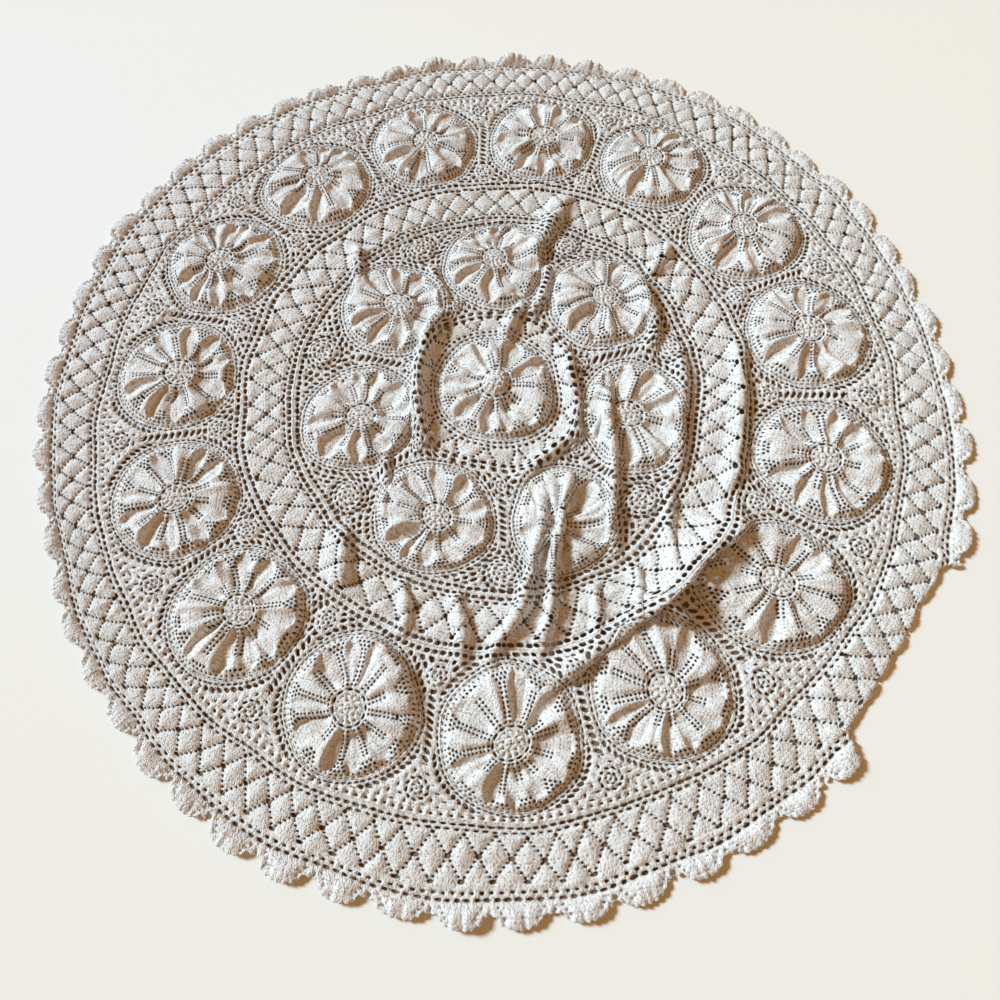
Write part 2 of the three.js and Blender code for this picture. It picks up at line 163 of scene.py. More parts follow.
def drape(x, y):
    """Where points of the flat cloth lie once it is pulled out and folded."""
    px, py, raised = turn_under(x, y)
    px, py = pull_out(px, py)
    at = np.stack([px, py, REST_HEIGHT + raised], -1)
    for x0, y0, x1, y1, bow, high, left, right, lean in FOLDS.values():
        length = hypot(x1 - x0, y1 - y0)
        ax, ay = (x1 - x0) / length, (y1 - y0) / length
        along = ((px - x0) * ax + (py - y0) * ay) / length
        side = (px - x0) * ay - (py - y0) * ax - bow * 4 * along * (1 - along)
        fade = smooth(np.minimum(along, 1 - along) / FOLD_FADE)
        bell = np.exp(-(side / np.where(side < 0, left, right)) ** 2)
        take = min(TAKE_UP * high ** 2 / ((left + right) / 2), left, right)
        shift = fade * (lean * bell - take * np.sign(side) * (1 - bell) * np.exp(-np.abs(side) / TAKE_SPREAD))
        at += np.stack([ay * shift, -ax * shift, high * fade * bell], -1)
    return at


def upward(x, y):
    """The direction square to the draped cloth at each point."""
    step = 1.5
    east = drape(x + step, y) - drape(x - step, y)
    north = drape(x, y + step) - drape(x, y - step)
    up = np.cross(east, north)
    return up / np.linalg.norm(up, axis=1, keepdims=True)


def chance(key, seed):
    """A steady random share from -0.5 to 0.5 for each whole number."""
    return np.modf(np.abs(np.sin(key * 78.233 + seed * 37.719) * 4375.85))[0] - 0.5


SQUARER = 2.5                          # corners of most holes: 2 is an oval, more is squarer


def gap(along, across, half_length, half_width, square=2.0):
    """Distance in millimetres outside one rounded hole in the mesh, negative inside it."""
    rounded = (np.abs(along / half_length) ** square + np.abs(across / half_width) ** square) ** (1 / square)
    return (rounded - 1) * np.minimum(half_length, half_width)


# How much one hole's size, and its place along and across its round, differ from the next one's.
UNEVEN_SIZE, UNEVEN_ALONG, UNEVEN_ACROSS = 0.3, 0.35, 0.5


def round_of_gaps(angle, radius, at, count, half_length, half_width, turn=0.0, slant=0.0, seed=0.0):
    """One round of like holes: angle in degrees and radius of each point, about the round's middle."""
    step = 360 / count
    number = np.round((angle - turn) / step)
    key = number % count
    longer = 1 + UNEVEN_SIZE * chance(key, seed + 3)
    wider = 1 + UNEVEN_SIZE * chance(key, seed + 4)
    along = radius * np.radians(angle - turn - number * step)
    along += chance(key, seed) * half_length * UNEVEN_ALONG
    across = radius - at + chance(key, seed + 1) * half_width * UNEVEN_ACROSS
    tip = radians(slant)
    return gap(along * cos(tip) + across * sin(tip), across * cos(tip) - along * sin(tip),
               half_length * longer, half_width * wider, SQUARER)


NO_GAP = 20.0                          # thread left everywhere, before any hole is made
EYE_R = 1.5                            # of the hole in the middle of a wheel or a flower
PETALS, PETAL_ANGLE = 12, 30.0
SPOKE_CLEAR, SHARED_RIDGE = 13, 46     # degrees it keeps from a hollow; widest ridge it centres on


def spoke_angles(hollows, turn):
    """Twelve lines of eyelets, in degrees, each drawn onto the ridge between two hollows."""
    at = np.array([direction for direction, _ in hollows])
    spokes = turn + PETAL_ANGLE * np.arange(PETALS)
    behind = ((spokes[:, None] - at) % 360).min(1)
    ahead = ((at - spokes[:, None]) % 360).min(1)
    pushed = np.maximum(SPOKE_CLEAR - behind, 0) - np.maximum(SPOKE_CLEAR - ahead, 0)
    return spokes + np.where(behind + ahead < SHARED_RIDGE, (ahead - behind) / 2, pushed)


# The hub and rim rounds of a wheel 100 mm in radius: radius, count, half length and width of a hole.
WHEEL_ROUNDS = (
    (4.0, 4, 1.2, 0.9), (11, 7, 1.5, 1.1), (18, 12, 1.6, 1.1), (24, 12, 4.2, 1.6),
    (92.8, 74, 1.5, 1.4), (97.5, 70, 2.4, 0.9),
)
# Its spokes are double lines of eyelets, and open near the rim into fans with one more in each row.
SPOKE_ROWS, SPOKE_START, SPOKE_STEP, SPOKE_HALF = 8, 30, 5.8, 3.0
FAN_ROWS, FAN_START, FAN_STEP, FAN_PITCH = 4, 70.5, 5.5, 6.6


def wheel_mesh(x, y, wheel_r, spokes, seed):
    """How far each point of a wheel motif is inside its rim, and how far from the nearest hole."""
    scale = wheel_r / 100
    radius, angle = np.hypot(x, y) / scale, np.degrees(np.arctan2(y, x))
    thread = radius - EYE_R
    for at, count, half_length, half_width in WHEEL_ROUNDS:
        gaps = round_of_gaps(angle, radius, at, count, half_length, half_width, seed=seed + at)
        thread = np.minimum(thread, gaps)
    off = (angle[:, None] - spokes + 180) % 360 - 180
    spoke = np.abs(off).argmin(1)
    bend = 6 * chance(spoke, seed + 9) * (radius - 65) / 35
    across = radius * np.radians(np.take_along_axis(off, spoke[:, None], 1)[:, 0] + bend)
    for row in range(SPOKE_ROWS):
        at = SPOKE_START + SPOKE_STEP * row + chance(row, seed)
        shown = chance(spoke, seed + 5) < 0.9 - 0.14 * row
        hole = gap(np.abs(across) - SPOKE_HALF, radius - at, 1.6, 1.7, SQUARER)
        thread = np.where(shown, np.minimum(thread, hole), thread)
    for row in range(FAN_ROWS):
        place = across / FAN_PITCH - row / 2
        aside = (place - np.clip(np.round(place), -row, 0)) * FAN_PITCH
        hole = gap(aside, radius - FAN_START - FAN_STEP * row, 1.9, 1.8, SQUARER)
        shown = row + 1 > FAN_ROWS * (chance(spoke, seed + 11) + 0.5)
        thread = np.where(shown, np.minimum(thread, hole), thread)
    return wheel_r - radius * scale, thread * scale


# Heights and depths of a wheel's parts. Distances out from its middle are shares of its radius.
RIM_RISE, CROWN_RISE = 9, 6.5
HUB_R, HUB_SINK, HUB_MOAT = 0.24, 3.2, 2.2
BOBBLES, BOBBLE_RISE, KNOT_RISE = 11, 2.0, 2.5
BROW_ANGLE = 48
PETAL_RISE, PETAL_DIFFERENCE = 2.2, 4
PLEATS, PLEAT_RISE = 19, 1.3
# A hollow's half width and depth, for size nought and then for each step in size.
HOLLOW_WIDTH, WIDTH_STEP, HOLLOW_DEPTH, DEPTH_STEP = 7.5, 3.9, 6.5, 3.6


def petal_hollows(x, y, wheel_r, hollows, brow, turn, seed):
    """Height of a wheel that stands up from its rim, with the hollows between its buckled petals.
    The cloth was pushed from the far left, so each hollow is steep on that side. brow is the
    direction in degrees where the rim stands highest, and how much."""
    radius, angle = np.hypot(x, y) / wheel_r, np.degrees(np.arctan2(y, x))
    lift = RIM_RISE * smooth((0.99 - radius) / 0.15) + CROWN_RISE * smooth((0.96 - radius) / 0.4)
    moat = HUB_MOAT * np.exp(-((radius - HUB_R) / 0.045) ** 2)
    lift -= moat + HUB_SINK * smooth((0.27 - radius) / 0.12)
    bobbles = np.cos(np.radians(BOBBLES * angle) + seed) * np.exp(-((radius - 0.15) / 0.035) ** 2)
    lift += BOBBLE_RISE * bobbles + KNOT_RISE * np.exp(-(radius / 0.07) ** 2)
    reach = smooth((radius - 0.23) / 0.18) * smooth((0.95 - radius) / 0.13)
    brow_side = (angle - brow[0] + 180) % 360 - 180
    brow_rise = brow[1] * np.exp(-(brow_side / BROW_ANGLE) ** 2) * smooth((0.985 - radius) / 0.1)
    lift += brow_rise * smooth((radius - 0.3) / 0.5)
    petal = (angle - turn) / PETAL_ANGLE
    petal_rise = PETAL_RISE + PETAL_DIFFERENCE * chance(np.floor(petal) % PETALS, seed)
    lift += reach * np.sin(pi * (petal % 1)) * petal_rise
    wander = 2.2 * np.sin(np.radians(3 * angle) + seed) + 1.2 * np.sin(x / 17 + seed) * np.sin(y / 19)
    lift += reach * PLEAT_RISE * np.cos(np.radians(PLEATS * angle) + wander)
    along = np.clip((radius - HUB_R) / 0.7, 0, 1)
    almond = np.sin(pi * along ** 1.25) ** 0.7
    for at, size in hollows:
        steep_side = sin(radians(at - PUSH_FROM + 180))
        skew = 14 * chance(at, seed) * (radius - 0.6)
        side = radius * wheel_r * np.radians((angle - at - skew + 180) % 360 - 180) * copysign(1, steep_side)
        gentle = (HOLLOW_WIDTH + WIDTH_STEP * size) * (0.1 + almond)
        steep = gentle * (1 - 0.45 * abs(steep_side))
        bell = np.where(side > 0, np.exp(-np.abs(side / steep) ** 3.0), np.exp(-np.abs(side / gentle) ** 2.2))
        lift -= reach * (HOLLOW_DEPTH + DEPTH_STEP * size) * bell
    return np.maximum(lift, 0)


ROW_STEP = 0.866                       # rows of even triangles, as a share of the pitch along a row


def laid_out(reach, pitch):
    """A flat mesh of even triangles that reaches so far each way: its points' x and y, and its faces."""
    rows, columns = ceil(2 * reach / (pitch * ROW_STEP)) + 1, ceil(2 * reach / pitch) + 2
    j, i = np.mgrid[0:rows, 0:columns]
    x, y = (i - 0.5 * (j % 2 == 0)) * pitch - reach, j * pitch * ROW_STEP - reach
    number = np.arange(rows * columns).reshape(rows, columns)
    a, b, c, d = number[:-1, :-1], number[:-1, 1:], number[1:, :-1], number[1:, 1:]
    leans_right = (np.arange(rows - 1) % 2 == 0)[:, None]
    first = np.stack([a, b, np.where(leans_right, c, d)], -1)
    second = np.stack([np.where(leans_right, b, a), d, c], -1)
    return x.ravel(), y.ravel(), np.concatenate([first.reshape(-1, 3), second.reshape(-1, 3)])


def cut_gaps(x, y, faces, thread):
    """Cuts the mesh along the edges of its holes, where thread passes through nought."""
    kept = thread[faces] > 0
    count = kept.sum(1)

    def turned(rows, first):
        order = (first[:, None] + np.arange(3)) % 3
        return np.take_along_axis(faces[rows], order, 1)

    one = turned(count == 1, kept[count == 1].argmax(1))
    two = turned(count == 2, (~kept[count == 2]).argmax(1))
    ends = np.concatenate([one[:, [0, 1]], one[:, [0, 2]], two[:, [1, 0]], two[:, [2, 0]]])
    pairs, which = np.unique(ends[:, 0] * len(x) + ends[:, 1], return_inverse=True)
    inside, outside = pairs // len(x), pairs % len(x)
    share = np.clip(thread[inside] / (thread[inside] - thread[outside]), 0.15, 0.9)
    which = which.ravel() + len(x)
    ab, ac, ba, ca = np.split(which, np.cumsum([len(one), len(one), len(two)]))
    faces = np.concatenate([
        faces[count == 3],
        np.stack([one[:, 0], ab, ac], 1),
        np.stack([ba, two[:, 1], two[:, 2]], 1),
        np.stack([ba, two[:, 2], ca], 1),
    ])
    x = np.append(x, x[inside] + (x[outside] - x[inside]) * share)
    y = np.append(y, y[inside] + (y[outside] - y[inside]) * share)
    used, faces = np.unique(faces, return_inverse=True)
    return x[used], y[used], faces.reshape(-1, 3)


def calmed(inside, thread):
    """The stitches next to a joined edge stay as slim as those between two holes."""
    return np.clip(thread, 0, 1.7 + 0.6 * np.maximum(inside, 0))


SWELL_RISE, CRUMPLE_RISE, LIFTED_OFF = 2.4, 1.9, 0.8


def unevenness(x, y):
    """Slow swells and smaller crumples of the cloth, up from where it lies flat. The border has less."""
    swell = np.sin(x / 31 + 1.7 * np.sin(y / 47)) * np.sin(y / 37 + 1.3 * np.sin(x / 53 + 2))
    crumple = np.sin(x / 9 + 1.9 * np.sin(y / 21)) * np.sin(y / 7.5 + 1.6 * np.sin(x / 17 + 1))
    loose = 1 - 0.3 * smooth((np.hypot(x, y) - 640) / 40)
    swell = SWELL_RISE * np.maximum(swell, -0.2)
    return swell + CRUMPLE_RISE * loose * np.maximum(crumple, -0.4) + LIFTED_OFF


THREAD_RISE, HOLE_EDGE_DIP, PILLOW = 2.2, 1.7, 2.2
STITCH_RELIEF, ROUND_RELIEF = 0.45, 0.3
ROUND_HEIGHT, POST_WIDTH = 5.0, 3.0    # of the tall stitches each round is made of
LEAST_HEIGHT = 0.3                     # so that nothing sinks into the table


def crochet(name, x, y, faces, thread, lift, pillow, middle):
    """One crochet piece, cut, draped and raised, with its thread and its place in the frame.
    pillow is how far the close parts puff up, and lift how far the piece buckles up off the table."""
    soft = THREAD_RISE - HOLE_EDGE_DIP * np.exp(-thread / 1.3) + pillow * (1 - np.exp(-thread / 8))
    soft += unevenness(x, y) / (1 + 0.12 * lift)
    stitches = STITCH_RELIEF * chance(np.round(9 * x) + 7 * np.round(11 * y), 2)
    stitches -= ROUND_RELIEF * np.cos(np.hypot(x - middle[0], y - middle[1]) * tau / ROUND_HEIGHT)
    at = drape(x, y)
    slack = 1 - 0.5 * smooth((at[:, 2] - 4) / 14)    # a fold draws the petals it lifts flatter
    at += upward(x, y) * (soft + stitches)[:, None]
    at[:, 2] = np.maximum(at[:, 2] + lift * slack, LEAST_HEIGHT)
    at[:, :2] += CLOTH_MIDDLE
    mesh = bpy.data.meshes.new(name)
    mesh.from_pydata(at * MM, [], faces)
    mesh.shade_smooth()
    laid = mesh.attributes.new("laid", "FLOAT_VECTOR", "POINT")
    place = np.stack([x - middle[0], y - middle[1], thread], -1)
    laid.data.foreach_set("vector", place.ravel().astype(np.float32))
    mesh.materials.append(cotton_thread)
    piece = bpy.data.objects.new(name, mesh)
    bpy.context.scene.collection.objects.link(piece)
    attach(piece, "root")
    return piece


# Painted shade: the low places between stitches are painted darker, down to the first colour; the second is
# the thread's own white.
PAINTED_STITCH_SHADE, STITCH_LIGHT = (0.37, 0.33, 0.3), (0.87, 0.87, 0.87)
# Painted shade at the edge of each hole:
PAINTED_HOLE_EDGE_SHADE = (0.55, 0.51, 0.48)   # multiplies the colour of the stitches at a hole


def thread_material():
    """White cotton worked in rounds of tall stitches: rows 5 mm high, posts 3 mm wide. Shade is painted into
    its colour in the low places between stitches and at the edge of each hole.
    """
    material = bpy.data.materials.new("cotton_thread")
    material.use_nodes = True
    nodes, links = material.node_tree.nodes, material.node_tree.links
    shader = nodes["Principled BSDF"]
    shader.inputs["Roughness"].default_value = 0.9
    shader.inputs["Specular IOR Level"].default_value = 0.15

    def math(operation, *values):
        node = nodes.new("ShaderNodeMath")
        node.operation = operation
        for socket, value in zip(node.inputs, values):
            if isinstance(value, (int, float)):
                socket.default_value = value
            else:
                links.new(value, socket)
        return node.outputs[0]

    def ramp(share, stops):
        node = nodes.new("ShaderNodeValToRGB")
        for element, (place, colour) in zip(node.color_ramp.elements, stops):
            element.position, element.color = place, (*colour, 1)
        links.new(share, node.inputs[0])
        return node.outputs[0]

    def multiplied(a, b):
        node = nodes.new("ShaderNodeMix")
        node.data_type, node.blend_type = "RGBA", "MULTIPLY"
        node.inputs["Factor"].default_value = 1
        links.new(a, node.inputs["A"])
        links.new(b, node.inputs["B"])
        return node.outputs["Result"]

    laid = nodes.new("ShaderNodeAttribute")
    laid.attribute_name = "laid"
    split = nodes.new("ShaderNodeSeparateXYZ")
    links.new(laid.outputs["Vector"], split.inputs[0])
    px, py, thread = split.outputs["X"], split.outputs["Y"], split.outputs["Z"]
    radius = math("SQRT", math("ADD", math("MULTIPLY", px, px), math("MULTIPLY", py, py)))
    rounds = math("DIVIDE", radius, ROUND_HEIGHT)
    middle_round = math("ADD", math("FLOOR", rounds), 0.5)
    posts = math("ROUND", math("MULTIPLY", middle_round, tau * ROUND_HEIGHT / POST_WIDTH))
    turn = math("DIVIDE", math("ARCTAN2", py, px), tau)
    place = nodes.new("ShaderNodeCombineXYZ")
    bend = math("MULTIPLY", math("ABSOLUTE", math("SUBTRACT", math("FRACT", rounds), 0.5)), 1.4)
    links.new(math("MULTIPLY_ADD", turn, posts, bend), place.inputs["X"])
    links.new(rounds, place.inputs["Y"])
    stitch = nodes.new("ShaderNodeTexVoronoi")
    stitch.voronoi_dimensions = "2D"
    stitch.inputs["Scale"].default_value = 1.0
    stitch.inputs["Randomness"].default_value = 0.75
    links.new(place.outputs[0], stitch.inputs["Vector"])
    noise = nodes.new("ShaderNodeTexNoise")
    noise.inputs["Scale"].default_value = 0.3
    noise.inputs["Detail"].default_value = 3.0
    noise.inputs["Roughness"].default_value = 0.7
    links.new(laid.outputs["Vector"], noise.inputs["Vector"])
    uneven = math("MULTIPLY_ADD", noise.outputs["Fac"], 0.9, 0.5)
    height = math("SUBTRACT", uneven, stitch.outputs["Distance"])
    # The colour runs from painted shade in the low places between stitches up to the thread's white, with
    # some random tone from the noise.
    cotton = ramp(height, ((0.12, PAINTED_STITCH_SHADE), (0.5, STITCH_LIGHT)))
    # Painted shade: the thread is painted darker towards the edge of each hole.
    rim = ramp(thread, ((0.0, PAINTED_HOLE_EDGE_SHADE), (0.8, (1, 1, 1))))
    links.new(multiplied(cotton, rim), shader.inputs["Base Color"])
    bump = nodes.new("ShaderNodeBump")
    bump.inputs["Strength"].default_value = 0.9
    bump.inputs["Distance"].default_value = 0.0014
    links.new(height, bump.inputs["Height"])
    links.new(bump.outputs[0], shader.inputs["Normal"])
    return material


cotton_thread = thread_material()
WHEEL_PITCH = 2.2                      # between the points of its mesh


def wheel(name, node, middle, wheel_r, hollows, brow, seed, swell=None):
    """A wheel motif crocheted, buckled and laid in its place. The petals are turned to suit its hollows."""
    reach = wheel_r + WHEEL_PITCH
    x, y, faces = laid_out(reach, WHEEL_PITCH)
    turns = np.radians([PETALS * at for at, _ in hollows])
    weights = np.array([size for _, size in hollows]) ** 2
    turn = np.degrees(np.arctan2((weights * np.sin(turns)).sum(), (weights * np.cos(turns)).sum()))
    turn = turn / PETALS - PETAL_ANGLE / 2
    spokes = spoke_angles(hollows, turn)
    x, y, faces = cut_gaps(x, y, faces, np.minimum(*wheel_mesh(x, y, wheel_r, spokes, seed)))
    thread = calmed(*wheel_mesh(x, y, wheel_r, spokes, seed))
    lift = petal_hollows(x, y, wheel_r, hollows, brow, turn, seed)
    if swell is not None:
        lift += swell(np.hypot(x, y))
    piece = crochet(name, x + middle[0], y + middle[1], faces, thread, lift, PILLOW, middle)
    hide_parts(node)


KNOB_RISE, KNOB_R, KNOB_SLOPE = 14, 28, 20


def knob(radius):
    """The middle of the centre wheel is pinched up."""
    return KNOB_RISE * smooth((KNOB_R - radius) / KNOB_SLOPE)


# Hollows between petals, in degrees from the right and a size from 1, slight, to 3.5, deep.
CENTRE_HOLLOWS = (
    (60, 3.5), (110, 1), (135, 1.5), (170, 1), (218, 1.5), (254, 2), (280, 1), (303, 3), (20, 1.5),
)
CENTRE_BROW = (-38, 9)
wheel("centre_wheel", "centre_rosette", (0, 0), CENTRE_WHEEL_R, CENTRE_HOLLOWS, CENTRE_BROW, 5, swell=knob)

# ---------------------------------------------------------------- inner joining net
# Open cotton mesh worked outward from the centre wheel: a collar of small fans, then bars of
# slanted gaps between the seven inner wheels. A filler flower closes each space between two
# wheels at the outside, and a smaller one at the inside.

INNER_WHEEL_R, INNER_NET_R = 91, 346.5
HALF_GAP = 0.12                        # how far a net or band stops short of the line it is joined along
NET_PITCH = 2.3


def about_ray(angle, radius, phase, count):
    """Distance along and across from the nearest ray midway between two wheels."""
    step = 360 / count
    ray = (np.round((angle - phase) / step - 0.5) + 0.5) * step + phase
    off = np.radians(angle - ray)
    return radius * np.cos(off), radius * np.sin(off)


def about_wheel(x, y, angle, place, phase, count):
    """Direction from the middle of the nearest wheel, turned with it, and the distance."""
    step = 360 / count
    number = np.round((phase - angle) / step)
    cx, cy = place(number)
    return np.degrees(np.arctan2(y - cy, x - cx)) - phase + step * number, np.hypot(x - cx, y - cy)


def filler_flower(along, across, rings, seed):
    """A small flower: rings of gaps about its own middle, each (radius, count, half length, half width)."""
    near, turn = np.hypot(along, across), np.degrees(np.arctan2(across, along))
    thread = near - EYE_R
    for at, count, half_length, half_width in rings:
        gaps = round_of_gaps(turn, near, at, count, half_length, half_width, slant=18, seed=seed + at)
        thread = np.minimum(thread, gaps)
    return thread


def bar_of_gaps(along, across, first, pitch, count, half_length, half_width, slant):
    """A ladder of gaps that lie across a bar."""
    number = np.clip(np.round((along - first) / pitch), 0, count - 1)
    down = along - first - number * pitch
    tip = radians(slant)
    return gap(across * cos(tip) + down * sin(tip), down * cos(tip) - across * sin(tip),
               half_length, half_width, 2.6)


BAR_BETWEEN = 1.3                      # width of close work left between two kinds of mesh


def kept_off(gaps, distance):
    """Gaps that stop a thread's width short of a line, by the distance from that line."""
    return np.maximum(gaps, BAR_BETWEEN - distance)


def rounds_about_wheel(toward, near, wheel_r, rounds):
    """Rounds of open mesh about a wheel, each (beyond its rim, count, half length, half width, slant)."""
    mesh = np.full_like(near, NO_GAP)
    for beyond, count, half_length, half_width, slant in rounds:
        gaps = round_of_gaps(toward, near, wheel_r + beyond, count, half_length, half_width,
                             slant=slant, seed=beyond)
        mesh = np.minimum(mesh, gaps)
    return mesh


# Rounds about the middle of the cloth: radius, count, half length and half width of a gap.
INNER_NET_ROUNDS = (
    (97.8, 64, 3.2, 1.4), (105, 64, 2.7, 1.9), (134, 56, 4.4, 2.8), (142, 56, 4.6, 2.9), (340, 196, 4.0, 2.9),
)
# The collar's fans spread outward, by these degrees either side of each one's middle.
COLLAR_SPREADS, COLLAR_START, COLLAR_STEP = (1.8, 3.4, 5.2, 7.2), 111.5, 5.6
INNER_WHEEL_ROUNDS = (
    (12, 54, 4.9, 2.5, 32), (22, 54, 4.4, 2.9, 0), (31.5, 56, 4.6, 3.0, 0), (41, 58, 4.6, 3.0, 0),
    (50.5, 60, 4.6, 3.0, 0), (60, 64, 4.6, 3.0, 0), (69.5, 68, 4.6, 3.0, 0),
)
INNER_BAR_AT, INNER_BAR_HALF_LENGTH, INNER_BAR_HALF_WIDTH = 219, 40, 9
INNER_FLOWER_AT, INNER_FLOWER_R = 309, 32
INNER_FLOWER_RINGS = ((7, 5, 2.1, 1.5), (14.5, 9, 3.0, 1.7), (22, 14, 3.2, 1.9), (29, 16, 4.4, 2.4))
INNER_BUD_AT, INNER_BUD_R = 164, 15
INNER_BUD_RINGS = ((6, 5, 2.2, 1.4), (12.5, 8, 3.4, 1.9))
INNER_MESH_R0, INNER_MESH_R1 = 147, 334


def inner_net_mesh(x, y):
    """How far each point is inside the inner net's edges, and how far from the nearest gap."""
    radius, angle = np.hypot(x, y), np.degrees(np.arctan2(y, x))
    inside = np.minimum(INNER_NET_R - radius, radius - CENTRE_WHEEL_R) - HALF_GAP
    thread = np.full_like(x, NO_GAP)
    for at, count, half_length, half_width in INNER_NET_ROUNDS:
        gaps = round_of_gaps(angle, radius, at, count, half_length, half_width, seed=at)
        thread = np.minimum(thread, gaps)
    for row, spread in enumerate(COLLAR_SPREADS):
        for side in (-spread, spread):
            at = COLLAR_START + COLLAR_STEP * row
            gaps = round_of_gaps(angle, radius, at, 14, 2.2, 1.9, turn=side, seed=row)
            thread = np.minimum(thread, gaps)

    toward, near = about_wheel(x, y, angle, inner_wheel, INNER_PHASE, INNER_COUNT)
    along, across = about_ray(angle, radius, INNER_PHASE, INNER_COUNT)
    in_bar = np.maximum(np.abs(across) - INNER_BAR_HALF_WIDTH,
                        np.abs(along - INNER_BAR_AT) - INNER_BAR_HALF_LENGTH)
    in_flower = np.hypot(along - INNER_FLOWER_AT, across) - INNER_FLOWER_R
    in_bud = np.hypot(along - INNER_BUD_AT, across) - INNER_BUD_R
    inside = np.minimum(inside, near - INNER_WHEEL_R - HALF_GAP)
    thread = np.minimum(thread, round_of_gaps(toward, near, INNER_WHEEL_R + 4.3, 66, 3.2, 1.4, seed=1))
    mesh = rounds_about_wheel(toward, near, INNER_WHEEL_R, INNER_WHEEL_ROUNDS)
    for distance in (in_bar, in_flower, in_bud, radius - INNER_MESH_R0, INNER_MESH_R1 - radius):
        mesh = kept_off(mesh, distance)
    thread = np.minimum(thread, mesh)
    thread = np.minimum(thread, bar_of_gaps(along, across, 186, 10.6, 7, 6.0, 2.8, 30))
    flower = filler_flower(along - INNER_FLOWER_AT, across, INNER_FLOWER_RINGS, 3)
    thread = np.where(in_flower < 1, np.minimum(thread, flower), thread)
    bud = filler_flower(along - INNER_BUD_AT, across, INNER_BUD_RINGS, 4)
    return inside, np.where(in_bud < 1, np.minimum(thread, bud), thread)


def embossed(along, across, size, high, seed):
    """A filler flower that puffs up, with ribs that wind out from its middle."""
    near, turn = np.hypot(along, across), np.arctan2(across, along)
    return smooth((size - near) / (0.6 * size)) * (high + 1.3 * np.sin(3 * turn + near / 2.6 + seed))


def inner_net_lift(x, y):
    """Its flowers and buds stand up a little."""
    along, across = about_ray(np.degrees(np.arctan2(y, x)), np.hypot(x, y), INNER_PHASE, INNER_COUNT)
    flower = embossed(along - INNER_FLOWER_AT, across, INNER_FLOWER_R + 2, 4.0, 1)
    return flower + embossed(along - INNER_BUD_AT, across, INNER_BUD_R + 2, 2.5, 2)


def net(name, node, mesh_of, inner_r, outer_r, pitch, pillow=PILLOW, lift_of=None):
    """A ring-shaped piece round the middle of the cloth, with the wheels left out of it."""
    reach = outer_r + pitch
    x, y, faces = laid_out(reach, pitch)
    radius = np.hypot(x, y)
    in_ring = (radius > inner_r - 2 * pitch) & (radius < outer_r + 2 * pitch)
    used, faces = np.unique(faces[in_ring[faces].all(1)], return_inverse=True)
    x, y, faces = x[used], y[used], faces.reshape(-1, 3)
    x, y, faces = cut_gaps(x, y, faces, np.minimum(*mesh_of(x, y)))
    thread = calmed(*mesh_of(x, y))
    lift = np.zeros_like(x) if lift_of is None else lift_of(x, y)
    piece = crochet(name, x, y, faces, thread, lift, pillow, (0, 0))
    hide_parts(node)


net("inner_net", "inner_joining_net", inner_net_mesh, CENTRE_WHEEL_R, INNER_NET_R, NET_PITCH,
    lift_of=inner_net_lift)

# ---------------------------------------------------------------- inner wheel motifs
# Seven wheels like the centre one, a little smaller, each crocheted on its own and joined
# to the net stitch by stitch as its last round is worked.

INNER_HOLLOWS = (
    ((115, 3), (76, 1.5), (49, 3), (18, 2), (344, 3), (309, 3), (268, 2), (236, 2), (205, 1)),
    ((111, 2), (85, 2), (66, 3), (23, 2), (349, 3), (135, 1), (256, 2), (295, 2.5), (212, 1)),
    ((117, 3), (90, 1), (60, 3.5), (30, 1.5), (7, 1.5), (225, 3), (250, 1.5), (299, 2), (340, 1.5)),
    ((113, 3), (90, 1.5), (53, 3), (11, 2), (160, 2), (236, 3), (255, 2), (319, 2), (200, 1.5)),
    ((130, 2), (49, 3), (190, 2), (338, 2), (245, 2), (285, 2)),
    ((114, 2.5), (82, 2), (45, 2.5), (10, 1.5), (214, 2.5), (238, 1), (263, 2), (296, 3), (330, 1)),
    ((119, 3), (94, 1), (71, 2.5), (36, 3), (4, 1.5), (229, 3), (272, 1.5), (309, 3), (185, 1)),
)
INNER_BROWS = ((20, 3), (-15, 2), (-10, 6), (20, 4), (-20, 2), (-30, 3), (-20, 3))
for k, hollows in enumerate(INNER_HOLLOWS):
    wheel(f"inner_wheel_{k + 1}", f"inner_rosette_{k + 1}", inner_wheel(k), INNER_WHEEL_R,
          hollows, INNER_BROWS[k], 20 + k)

# ---------------------------------------------------------------- inner lattice band
# Rounds worked on round the inner group: a honeycomb of large gaps, then close fans parted
# by slanting lines of eyelets that cross at larger gaps, then a honeycomb again.

BAND_R, BAND_REPEATS = 434.5, 56


def lattice(angle, radius, count, turn, crossings, eyelets):
    """Lozenges of close stitches. crossings holds (radius, half length, half width) for each round
    where lines of eyelets meet, every second one half a repeat on. eyelets holds how many lie on a
    line between two rounds."""
    step = 360 / count
    thread = np.full_like(radius, NO_GAP)
    for row, (at, half_length, half_width) in enumerate(crossings):
        start = turn + step / 2 * (row % 2)
        gaps = round_of_gaps(angle, radius, at, count, half_length, half_width, turn=start, seed=row + at)
        thread = np.minimum(thread, gaps)
        if row < len(eyelets):
            key = np.round((angle - start) / step)
            aside = np.abs(angle - start - key * step)
            rise = crossings[row + 1][0] - at
            for eyelet in range(eyelets[row]):
                share = (eyelet + 1) / (eyelets[row] + 1)
                along = radius * np.radians(aside - share * step / 2) + 1.2 * chance(key % count, eyelet)
                hole = gap(along, radius - at - share * rise, 2.2, 1.5, SQUARER)
                thread = np.minimum(thread, hole)
    return thread


def rounds_of_gaps(angle, radius, rounds):
    """Whole rounds of gaps, each (radius, count, half length, half width, degrees it is turned by)."""
    thread = np.full_like(radius, NO_GAP)
    for at, count, half_length, half_width, turn in rounds:
        gaps = round_of_gaps(angle, radius, at, count, half_length, half_width, turn=turn, seed=at)
        thread = np.minimum(thread, gaps)
    return thread


